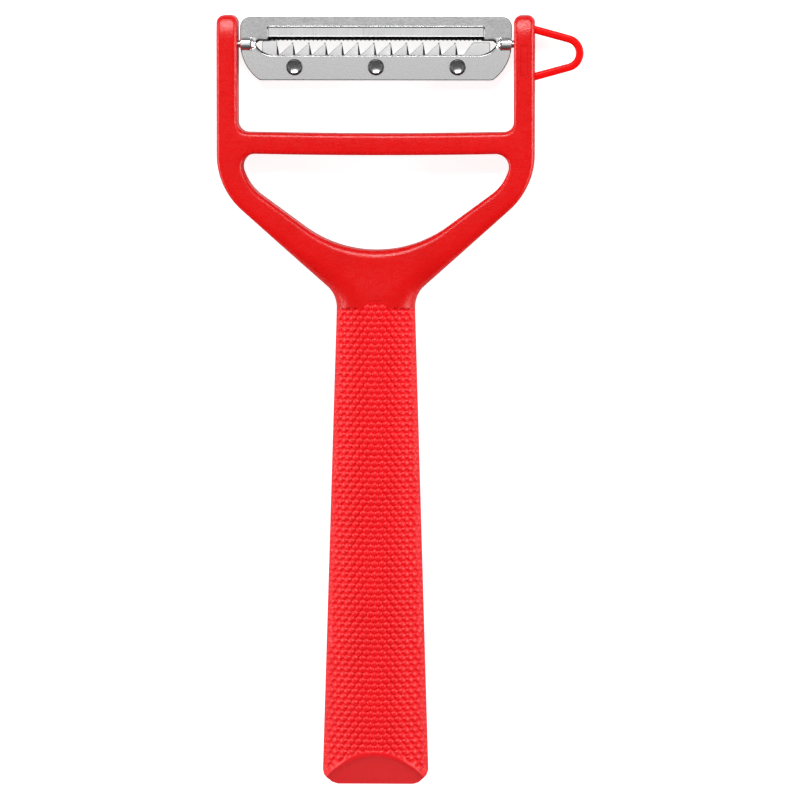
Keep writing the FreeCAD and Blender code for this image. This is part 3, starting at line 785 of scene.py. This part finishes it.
def core_ring(y, shrink):
    """Points round the handle core at one place, in a loop."""
    half, rise, side, centre = section("core", y)
    half, rise, side = half - shrink, rise - shrink, side - shrink
    crown = crown_of(half, rise, side)
    turn = math.atan2(crown - rise, half - side)
    points = []
    for begin, finish, (x, z), radius in (
            (-turn, turn, (half - side, centre), side),
            (turn, math.pi - turn, (0, centre + rise - crown), crown),
            (math.pi - turn, math.pi + turn, (side - half, centre), side),
            (math.pi + turn, 2 * math.pi - turn, (0, centre - rise + crown), crown)):
        for i in range(RING_POINTS):
            angle = begin + (finish - begin) * i / RING_POINTS
            points.append(Vector((x + radius * math.cos(angle), y, z + radius * math.sin(angle))))
    return points


def core_tube(bm, begin, shrink):
    """The skin of the handle core from one place past the end of the butt, open at both ends."""
    finish = BUTT_END - BUTT_OVERRUN
    rings = []
    for number in range(CORE_RINGS + 1):
        y = begin + (finish - begin) * number / CORE_RINGS
        rings.append([bm.verts.new(p) for p in core_ring(y, shrink)])
    for ring_a, ring_b in zip(rings, rings[1:]):
        join_rings(bm, ring_a, ring_b)
    return rings


def sink_socket(bm, sign):
    """Open a blind socket for the blade's stub in the inner wall of one arm."""
    wall = [face for face in bm.faces
            if all(abs(vertex.co.x - sign * ARM_INNER) < SAME_POINT for vertex in face.verts)
            and abs(face.calc_center_median().y - pivot.y) < SOCKET_PATCH]
    border = [edge for edge in dict.fromkeys(edge for face in wall for edge in face.edges)
              if sum(face in wall for face in edge.link_faces) == 1]
    bmesh.ops.delete(bm, geom=wall, context="FACES")
    rings = []
    for x in (ARM_INNER, SOCKET_REACH):
        spots = [pivot.yz + SOCKET_RADIUS * turn_to(math.tau * i / SOCKET_SIDES) for i in range(SOCKET_SIDES)]
        rings.append([bm.verts.new((sign * x, *spot)) for spot in spots])
    mouth, foot = rings
    lip = []
    for i in range(SOCKET_SIDES):
        j = (i + 1) % SOCKET_SIDES
        bm.faces.new((mouth[i], mouth[j], foot[j], foot[i]))
        lip.append(bm.edges.get((mouth[i], mouth[j])))
    bm.faces.new(foot)
    bmesh.ops.triangle_fill(bm, edges=border + lip, use_beauty=True, normal=(-sign, 0, 0))


def build_yoke():
    bm = bmesh.new()
    right = yoke_half()
    outer = right + flip(right)[1:]
    window = window_half()
    hole = (window + flip(window)[1:-1])[::-1]
    (near, low), (far, high) = NIB_LOW, NIB_HIGH
    seat = [Vector(p) for p in ((near, high), (far, high), (far, low), (near, low))]
    slab(bm, [outer, hole], yoke_top, yoke_bottom, yoke_inset, yoke_lift, steps=8, grid=1.6, open_end=True,
         pockets=[(seat, NIB_FLOOR)])
    for sign in (1, -1):
        sink_socket(bm, sign)
    core = core_tube(bm, NECK_END + CORE_OVERLAP, CORE_FIT)
    bm.faces.new(core[0])
    bm.faces.new(core[-1])
    # The butt's cut faces take the brighter facet red: painted light.
    cut_butt(bm, butt_planes(CORE_RECESS), slot=1)
    return piece("yoke_frame_moulded", bm, [frame_red, facet_red_painted_light], "handle", "yoke_frame", sharp=38)


# ---- eye remover

LOOP_CENTRE = Vector((38.0, 45.4))
LOOP_OUTER = 3.7
LOOP_INNER = 2.2
LOOP_ROOT_OUTER = 5.5
LOOP_ROOT_INNER = 3.95
LOOP_BOTTOM = loop_low.z
LOOP_TOP = loop_low.z + 3.0
LOOP_ROUNDING = 0.45
LEG_OVERLAP = 0.8
TONGUE_END = 30.3
TONGUE_PROUD = 0.02
TONGUE_BEVEL = 0.06
NIB_PLAY = 0.09
NIB_SINK = 0.04
NIB_LIFT = 0.05


def leg_angle(radius, root):
    """Angle of the normal of a leg that leaves the arm at the root and touches the bow."""
    start = Vector((ARM_OUTER, root)) - Vector((LOOP_CENTRE.x, 0))
    return math.atan2(start.y, start.x) - math.acos(radius / start.length)


def build_loop():
    bm = bmesh.new()
    outer_angle = leg_angle(LOOP_OUTER, LOOP_ROOT_OUTER)
    inner_angle = leg_angle(LOOP_INNER, LOOP_ROOT_INNER)

    def root(height, radius, angle):
        touch = LOOP_CENTRE + radius * turn_to(angle)
        start = Vector((ARM_OUTER, LOOP_CENTRE.y + height))
        slope = (touch - start) / (touch.x - start.x)
        return start - slope * LEG_OVERLAP, touch

    out_start, out_touch = root(LOOP_ROOT_OUTER, LOOP_OUTER, outer_angle)
    in_start, in_touch = root(LOOP_ROOT_INNER, LOOP_INNER, inner_angle)

    def below(point):
        return Vector((point.x, 2 * LOOP_CENTRE.y - point.y))

    outline = trail(
        run(below(out_start), below(out_touch), 0.6),
        arc(LOOP_CENTRE, LOOP_OUTER, -outer_angle, outer_angle, 0.2),
        run(out_touch, out_start, 0.6),
        run(in_start, in_touch, 0.6),
        arc(LOOP_CENTRE, LOOP_INNER, inner_angle, -inner_angle, 0.15),
        run(below(in_touch), below(in_start), 0.6))

    def rounding(x, y):
        return LOOP_ROUNDING

    slab(bm, [outline], lambda x, y: LOOP_TOP, lambda x, y: LOOP_BOTTOM, rounding, rounding, steps=5, grid=0)
    block(bm, (TONGUE_END, LOOP_CENTRE.y - LOOP_ROOT_OUTER, LOOP_BOTTOM),
          (ARM_OUTER + TONGUE_PROUD, LOOP_CENTRE.y + LOOP_ROOT_OUTER, LOOP_TOP), TONGUE_BEVEL)
    before = len(bm.faces)
    block(bm, (NIB_LOW[0] + NIB_PLAY, NIB_LOW[1] + NIB_PLAY, NIB_FLOOR + NIB_LIFT),
          (NIB_HIGH[0] - NIB_PLAY, NIB_HIGH[1] - NIB_PLAY, FRAME_THICK - NIB_SINK), TONGUE_BEVEL)
    bm.faces.ensure_lookup_table()
    for face in bm.faces[before:]:
        face.material_index = 1
    return piece("eye_remover_loop", bm, [loop_red, frame_red], "handle", "eye_remover", sharp=45)


# ---- blade

PLATE_THICK = 0.7
PLATE_HALF = 27.3
PLATE_TOP = 5.4
PLATE_CORNER = 1.9
GUARD_BOTTOM = -7.3
GUARD_CORNER = 1.3
GUARD_CENTRE = Vector((18.1, 0.2))
GUARD_RADIUS = 9.2
SLOT_TOP = 0.60
SLOT_BOTTOM = -2.25
SLOT_SHOULDER = 23.5
SLOT_TIP = 24.3
SLOT_RADIUS = 4.6
GROUND_TOP = 3.4
BEVEL_TOP = 1.5
GROUND_HALF = 21.75
GROUND_STEP = 0.14
RIDGE = 0.05
TOOTH_PITCH = 0.87
TEETH = 49
SCALLOP = 0.2
TOOTH_POINTS = 6
BAND_DEPTH = 0.05
BEVEL_DEPTH = 0.42
ARCH_FLAT = 1.0
ARCH_ABOVE = 0.07
ARCH_BELOW = 0.085
BEAD = 1.25
BEAD_START = 24.2
BEAD_TAPER = 1.1
BEAD_RISE = 0.85
BEAD_GRID = 0.14
STUB = ((0.0, 26.2), (0.75, 26.4), (0.75, 29.3), (0.6, 29.45), (0.0, 29.45))
RIM_REACH = 21.6
RIM_TEETH = 0.03
RIM_PLAIN = 0.12
RIM_SLOT = 0.25
RIVET_SPACING = 16.4
RIVET_Y = -4.65
RIVET_HOLE = 1.02
RIVETS = (-1, 0, 1)
GROUND, BEVEL, SHADE_PAINTED, GUARD, STUBS, BURR = range(1, 7)


def curl(y):
    """Height of the plate's arch: a flat middle, from which the upper and lower edges fall back."""
    return -ARCH_ABOVE * max(y - ARCH_FLAT, 0) - ARCH_BELOW * max(-ARCH_FLAT - y, 0)


def plate_middle(x, y):
    """Height of the plate's middle surface: a shallow arch, with a half-round bead at each end."""
    along = (abs(x) - BEAD_START) / BEAD_TAPER
    width = BEAD * min(max(along, 0.0), 1.0) ** 0.6
    if width <= 0.05 or abs(y) >= width:
        return curl(y)
    return curl(y) + BEAD_RISE * (width / BEAD) * math.sqrt(1 - (y / width) ** 2)


def ground_depth(x, y):
    """How much is ground off the front: a shallow band with a fine burr round it, then a steep bevel."""
    if y < 0:
        return 0.0
    inside = min(GROUND_HALF - abs(x), GROUND_TOP - y)
    burr = RIDGE * max(0.0, 1 - abs(inside) / GROUND_STEP)
    band = BAND_DEPTH * min(max(inside / GROUND_STEP, 0.0), 1.0)
    bevel = BEVEL_DEPTH * max(BEVEL_TOP - y, 0) / (BEVEL_TOP - SLOT_TOP) if inside > 0 else 0.0
    return band + bevel * min(inside / GROUND_STEP, 1.0) - burr


def plate_front(x, y):
    return plate_middle(x, y) + PLATE_THICK / 2 - ground_depth(x, y)


def plate_back(x, y):
    return plate_middle(x, y) - PLATE_THICK / 2


def plate_outline():
    heel_reach = GUARD_RADIUS - GUARD_CORNER
    heel = Vector((0, GUARD_BOTTOM + GUARD_CORNER))
    heel.x = GUARD_CENTRE.x + math.sqrt(heel_reach ** 2 - (heel.y - GUARD_CENTRE.y) ** 2)
    meeting = math.atan2(heel.y - GUARD_CENTRE.y, heel.x - GUARD_CENTRE.x)
    right = trail(
        run((0, GUARD_BOTTOM), (heel.x, GUARD_BOTTOM), 0.8),
        arc(heel, GUARD_CORNER, -QUARTER, meeting),
        arc(GUARD_CENTRE, GUARD_RADIUS, meeting, 0, 0.3),
        run((PLATE_HALF, GUARD_CENTRE.y), (PLATE_HALF, PLATE_TOP - PLATE_CORNER), 0.15),
        arc((PLATE_HALF - PLATE_CORNER, PLATE_TOP - PLATE_CORNER), PLATE_CORNER, 0, QUARTER),
        run((PLATE_HALF - PLATE_CORNER, PLATE_TOP), (0, PLATE_TOP), 0.8))
    return right + flip(right)[1:-1]


def serrated_edge():
    """Right half of the cutting edge, from the slot's shoulder to the middle, with its scallops."""
    last = (TEETH // 2 + 0.5) * TOOTH_PITCH
    points = [Vector((SLOT_SHOULDER, SLOT_TOP)), Vector((last, SLOT_TOP))]
    for i in range(1, int(last / TOOTH_PITCH * TOOTH_POINTS) + 1):
        x = last - i * TOOTH_PITCH / TOOTH_POINTS
        phase = (x / TOOTH_PITCH + 0.5) % 1.0
        points.append(Vector((max(x, 0.0), SLOT_TOP + SCALLOP * math.sqrt(max(0.0, 1 - (2 * phase - 1) ** 2)))))
        if x <= 0:
            break
    return points


def slot_outline():
    end = Vector((SLOT_TIP, 0.0))
    floor_y = SLOT_BOTTOM + SLOT_RADIUS
    centre = Vector((SLOT_TIP - math.sqrt(SLOT_RADIUS ** 2 - floor_y ** 2), floor_y))
    tip_angle = math.atan2(-floor_y, SLOT_TIP - centre.x)
    right = trail(
        run((0, SLOT_BOTTOM), (centre.x, SLOT_BOTTOM), 0.8),
        arc(centre, SLOT_RADIUS, -QUARTER, tip_angle, 0.3),
        run(end, (SLOT_SHOULDER, SLOT_TOP), 0.15),
        serrated_edge())
    return (right + flip(right)[1:-1])[::-1]


def place_blade(bm):
    """Move a mesh from the pivot's own coordinates to its place in the part."""
    for vertex in bm.verts:
        vertex.co += pivot


def rim(x, y):
    """Edge rounding of the plate: a broad lip round the slot, next to nothing at the teeth."""
    if abs(x) < RIM_REACH and 0 < y < BEVEL_TOP:
        return RIM_TEETH
    in_slot = abs(x) < SLOT_TIP + 0.1 and SLOT_BOTTOM - 0.1 < y < BEVEL_TOP
    return RIM_SLOT + RIM_SLOT * smooth_step((abs(x) - 20) / 3) if in_slot else RIM_PLAIN


def ground_creases():
    """Chains along which the plate's front changes slope: round the ground band and above the bevel."""
    chains = []
    for offset in (-GROUND_STEP, 0, GROUND_STEP, 2 * GROUND_STEP):
        half, top = GROUND_HALF + offset, GROUND_TOP + offset
        side = run((half, SLOT_TOP + 0.35), (half, BEVEL_TOP), 0.4)
        side += run((half, BEVEL_TOP), (half, top), 0.4)[1:]
        chains.append(side + run((half, top), (-half, top), 0.6)[1:] + flip(side)[1:])
    inner = GROUND_HALF - GROUND_STEP
    return chains + [run((inner, y), (-inner, y), 0.3) for y in (BEVEL_TOP, BEVEL_TOP + GROUND_STEP)]


def paint_plate(bm, front):
    """Pick the plate's steel: by place on its front, then for the beads and for every steep face, which takes
    near-black steel as painted shade.
    """
    for face in front:
        middle = face.calc_center_median()
        inside = min(GROUND_HALF - abs(middle.x), GROUND_TOP - middle.y, middle.y - BEVEL_TOP)
        # The bevel takes near-black steel as painted dark reflection.
        if abs(middle.x) < GROUND_HALF and SLOT_TOP < middle.y < BEVEL_TOP:
            face.material_index = BEVEL
        # The burr round the ground band takes near-white steel: painted highlight.
        elif inside > -GROUND_STEP:
            face.material_index = GROUND if inside > GROUND_STEP else BURR
        # Below the middle the guard takes brighter steel as painted reflection; above, the plate keeps darker
        # steel as painted shade.
        elif middle.y < 0:
            face.material_index = GUARD
    for face in bm.faces:
        middle = face.calc_center_median()
        face.normal_update()
        in_bead = abs(middle.x) > BEAD_START and abs(middle.y) < BEAD
        # Steep faces below take near-black steel as painted shade.
        steep = 0.9 if abs(middle.x) < SLOT_TIP and abs(middle.y) < 3 else 0.97
        if in_bead:
            face.material_index = STUBS
        elif abs(face.normal.z) < steep:
            face.material_index = SHADE_PAINTED


def build_plate():
    bm = bmesh.new()
    holes = [arc((number * RIVET_SPACING, RIVET_Y), RIVET_HOLE, math.tau, 0)[:-1] for number in RIVETS]
    beads = [(sign * x, y) for sign in (1, -1) for x in np.arange(24.0, PLATE_HALF, BEAD_GRID)
             for y in np.arange(-12 * BEAD_GRID, 1.7, BEAD_GRID)]
    front = slab(bm, [plate_outline(), slot_outline(), *holes], plate_front, plate_back, rim, rim, steps=4,
                 grid=0.9, creases=ground_creases(), extra=[(beads, 0.05)], hold=0.05)
    paint_plate(bm, front)
    for sign in (1, -1):
        lathe(bm, STUB, "X", sign)
    place_blade(bm)
    materials = [plate_painted_shade_steel, ground_steel, bevel_painted_dark_steel, shade_painted_steel, guard_painted_light_steel, rivet_steel, burr_highlight_steel]
    return piece("peeling_blade_plate", bm, materials, "blade", "peeling_blade", sharp=24)


def lathe(bm, profile, axis, sign=1, centre=(0, 0, 0), count=40):
    """Turn (radius, height) points about an axis and close the ends where the radius is nought."""
    rings = []
    for radius, height in profile:
        ring = []
        for i in range(count if radius > 0 else 1):
            angle = math.tau * i / count
            spot = (radius * math.cos(angle), radius * math.sin(angle))
            place = (sign * height, *spot) if axis == "X" else (*spot, sign * height)
            ring.append(bm.verts.new(Vector(centre) + Vector(place)))
        rings.append(ring)
    for lower, upper in zip(rings, rings[1:]):
        for i in range(count):
            j = (i + 1) % count
            pairs = ((lower, i), (lower, j), (upper, j), (upper, i))
            corners = list(dict.fromkeys(ring[number % len(ring)] for ring, number in pairs))
            if len(corners) > 2:
                bm.faces.new(corners)


# ---- comb

COMB_HALF = 22.9
COMB_BOTTOM = -6.5
COMB_BASE = -2.6
COMB_ROOT = SLOT_BOTTOM + 0.1
COMB_TIP = 0.25
COMB_PITCH = 3.27
COMB_FIRST = -16.66
COMB_TEETH = 11
COMB_RUN = 2.75
COMB_THICK = 0.5
COMB_EDGE = 0.09
LUG_INNER = -19.93
LUG_TOP = 0.75
LUG_CORNER = 0.3
TAB_INNER = 19.5
TAB_FOOT = 17.6
TAB_TOP = 0.3
TAB_CORNER = 0.2
FIN_THICK = 0.28
FIN_GAP = 0.08
FIN = ((-0.05, COMB_TIP, 0.0), (-0.05, COMB_BASE, 0.0), (0.45, COMB_BASE + 0.1, 1.35),
       (0.28, COMB_BASE + 1.1, 0.9))


def comb_lift(y):
    """The comb lies against the back of the guard bar."""
    return curl(min(y, 0)) - PLATE_THICK / 2


def build_comb():
    bm = bmesh.new()
    outline = [(-COMB_HALF, COMB_BOTTOM), (COMB_HALF, COMB_BOTTOM), (COMB_HALF, TAB_TOP - TAB_CORNER),
               (COMB_HALF - TAB_CORNER, TAB_TOP), (TAB_INNER, TAB_TOP), (TAB_FOOT, COMB_ROOT)]
    for number in reversed(range(COMB_TEETH)):
        upright = COMB_FIRST + number * COMB_PITCH
        outline += [(upright, COMB_ROOT), (upright, COMB_TIP), (upright - COMB_RUN, COMB_ROOT)]
    outline += [(LUG_INNER, COMB_ROOT), (LUG_INNER, LUG_TOP), (-COMB_HALF + LUG_CORNER, LUG_TOP),
                (-COMB_HALF, LUG_TOP - 0.35)]
    points = [Vector(p) for p in outline]
    front = [bm.verts.new((*(p + COMB_EDGE * n), comb_lift(p.y))) for p, n in zip(points, normals_of(points))]
    worn = [bm.verts.new((*p, comb_lift(p.y) - COMB_EDGE)) for p in points]
    back = [bm.verts.new((*p, comb_lift(p.y) - COMB_THICK)) for p in points]
    # The comb's edge walls and its fins take near-black steel: painted shade.
    for face in join_rings(bm, front, worn) + join_rings(bm, worn, back):
        face.material_index = 1
    fill(bm, [front], lambda x, y: comb_lift(y), 0)
    fill(bm, [back], lambda x, y: comb_lift(y) - COMB_THICK, 0, upward=False)
    for number in range(-1, COMB_TEETH):
        build_fin(bm, COMB_FIRST + number * COMB_PITCH)
    place_blade(bm)
    return piece("julienne_blade_comb", bm, [comb_steel, shade_painted_steel], "blade", "julienne_blade", sharp=30)


def build_fin(bm, x):
    """A four-cornered fin turned back along a tooth's upright edge, leaning a little outwards."""
    level = comb_lift(-ARCH_FLAT) - FIN_GAP
    corners = [Vector((x + across, y, level - drop)) for across, y, drop in FIN]
    normal = (corners[1] - corners[0]).cross(corners[2] - corners[0]).normalized() * FIN_THICK
    near = [bm.verts.new(p) for p in corners]
    far = [bm.verts.new(p - normal) for p in corners]
    # The fin takes near-black steel: painted shade.
    for face in [bm.faces.new(near), bm.faces.new(far[::-1]), *join_rings(bm, near, far)]:
        face.material_index = 1


# ---- rivets

BOWL = 1.22
BOWL_FLOOR = 0.14
BOWL_DEPTH = 0.24
BOWL_RIM = 1.25
BOWL_STEPS = 8
HEAD = ((1.3, 0.43), (1.4, 0.41), (1.55, 0.32), (1.65, 0.15), (1.65, -0.02), (1.0, -0.02))
TAIL = ((1.0, 0.0), (1.55, -0.02), (1.5, -0.18), (1.25, -0.34), (0.8, -0.43), (0.0, -0.45))


def build_rivets():
    bm = bmesh.new()
    front = plate_front(0, RIVET_Y)
    rear = comb_lift(RIVET_Y) - COMB_THICK
    shares = [i / BOWL_STEPS for i in range(BOWL_STEPS + 1)]
    profile = [(BOWL * share, front + BOWL_FLOOR + BOWL_DEPTH * share ** 2) for share in shares]
    profile += [(radius, front + height) for radius, height in HEAD]
    profile += [(radius, rear + height) for radius, height in TAIL]
    for number in RIVETS:
        lathe(bm, profile, "Z", centre=(number * RIVET_SPACING, RIVET_Y, 0), count=48)
    for face in bm.faces:
        middle = face.calc_center_median() - Vector((0, RIVET_Y, 0))
        across = (middle.x + RIVET_SPACING / 2) % RIVET_SPACING - RIVET_SPACING / 2
        radius = math.hypot(across, middle.y)
        # Each rivet's outer rings take near-black steel: painted shade.
        if radius > BOWL_RIM:
            face.material_index = 1
        # The bowl takes darker steel: painted shade of the hollow.
        elif middle.z > 0:
            face.material_index = 2
    place_blade(bm)
    return piece("blade_rivets_dished", bm, [rivet_steel, shade_painted_steel, bowl_painted_shade_steel], "blade", "blade_rivets",
                 sharp=40)


# ---- stage, lights and camera

FLOOR_SIZE = 6.0
FLOOR_DROP = 0.0002
CAMERA_PLACE = Vector((0.062, 0.072, 1.400))
CAMERA_AIM = Vector((0.0050, -0.0242, FRAME_THICK * MM))
CAMERA_SPAN = 0.1608


def build_floor():
    bm = bmesh.new()
    bmesh.ops.create_grid(bm, x_segments=2, y_segments=2, size=FLOOR_SIZE)
    mesh = bpy.data.meshes.new("floor")
    bm.to_mesh(mesh)
    bm.free()
    shader = Shader("floor_white", Roughness=0.8, Specular_IOR_Level=0.1, Emission_Color=(1, 1, 1, 1),
                    Emission_Strength=0.84)
    tint = shader.ramp(shader.noise((0.01, 0.01, 0.01)), grey(0.58, 0), grey(0.61, 0))
    mesh.materials.append(shader.finish(tint))
    floor = bpy.data.objects.new("floor", mesh)
    floor.location.z = -FLOOR_DROP
    bpy.context.scene.collection.objects.link(floor)
    light_only(floor, [floor])


def light_only(source, things):
    """Keep a source's light to the named things."""
    receivers = bpy.data.collections.new(source.name + "_receivers")
    for thing in things:
        receivers.objects.link(thing)
    source.light_linking.receiver_collection = receivers


def area_light(name, place, aim, size, power, mirrored=True, only=()):
    """A soft box; with names given, it lights those pieces only."""
    data = bpy.data.lights.new(name, "AREA")
    data.shape = "RECTANGLE"
    data.size, data.size_y = size
    data.energy = power
    light = bpy.data.objects.new(name, data)
    light.location = place
    light.rotation_euler = (Vector(aim) - Vector(place)).to_track_quat("-Z", "Y").to_euler()
    light.visible_glossy = mirrored
    bpy.context.scene.collection.objects.link(light)
    if only:
        light_only(light, only)


def build_world():
    """A dim sky, brighter towards the head end, with a pale glow all round the horizon."""
    world = bpy.data.worlds.new("studio")
    bpy.context.scene.world = world
    nodes = Nodes(world)
    way = nodes.add("ShaderNodeSeparateXYZ")
    nodes.link(nodes.add("ShaderNodeTexCoord").outputs["Generated"], way.inputs["Vector"])
    lean = nodes.total(way.outputs["Z"], way.outputs["Y"], 0.3)
    sky = nodes.ramp(lean, grey(0.03, 0), grey(0.13, 0), 0.20, 0.60)
    horizon = nodes.ramp(way.outputs["Z"], grey(0.80, 0), grey(0.0, 0), 0.04, 0.12)
    both = nodes.mix(1.0, sky, horizon)
    both.node.blend_type = "ADD"
    nodes.link(both, nodes.tree.nodes["Background"].inputs["Color"])


def build_camera():
    """A camera that looks down on the part and sees the span across the picture."""
    camera = bpy.data.cameras.new("camera")
    camera.sensor_width = 36
    camera.lens = camera.sensor_width * (CAMERA_PLACE - CAMERA_AIM).length / CAMERA_SPAN
    thing = bpy.data.objects.new("camera", camera)
    thing.location = CAMERA_PLACE
    behind = (CAMERA_PLACE - CAMERA_AIM).normalized()
    right = Vector((0, 1, 0)).cross(behind).normalized()
    thing.rotation_euler = Matrix((right, behind.cross(right), behind)).transposed().to_euler()
    bpy.context.scene.collection.objects.link(thing)
    bpy.context.scene.camera = thing


# ---- the whole

build_grip()
build_yoke()
build_loop()
flat_steel = [build_plate(), build_comb()]
build_rivets()
build_floor()
build_world()
area_light("key", (-0.05, 0.43, 0.64), (0, -0.02, 0), (0.45, 0.15), 4.1)
area_light("left", (-0.60, 0.04, 0.20), (0, -0.02, 0), (0.6, 0.10), 2.4)
area_light("right", (0.60, 0.02, 0.24), (0, -0.02, 0), (0.6, 0.10), 2.7)
area_light("low", (-0.05, -0.62, 0.30), (0, -0.06, 0), (0.5, 0.2), 1.25, mirrored=False)
area_light("card", (0.0, 0.08, 0.70), (0, 0.04, 0), (0.5, 0.40), 0.42, only=flat_steel)
build_camera()
bpy.context.scene.view_settings.view_transform = "Standard"
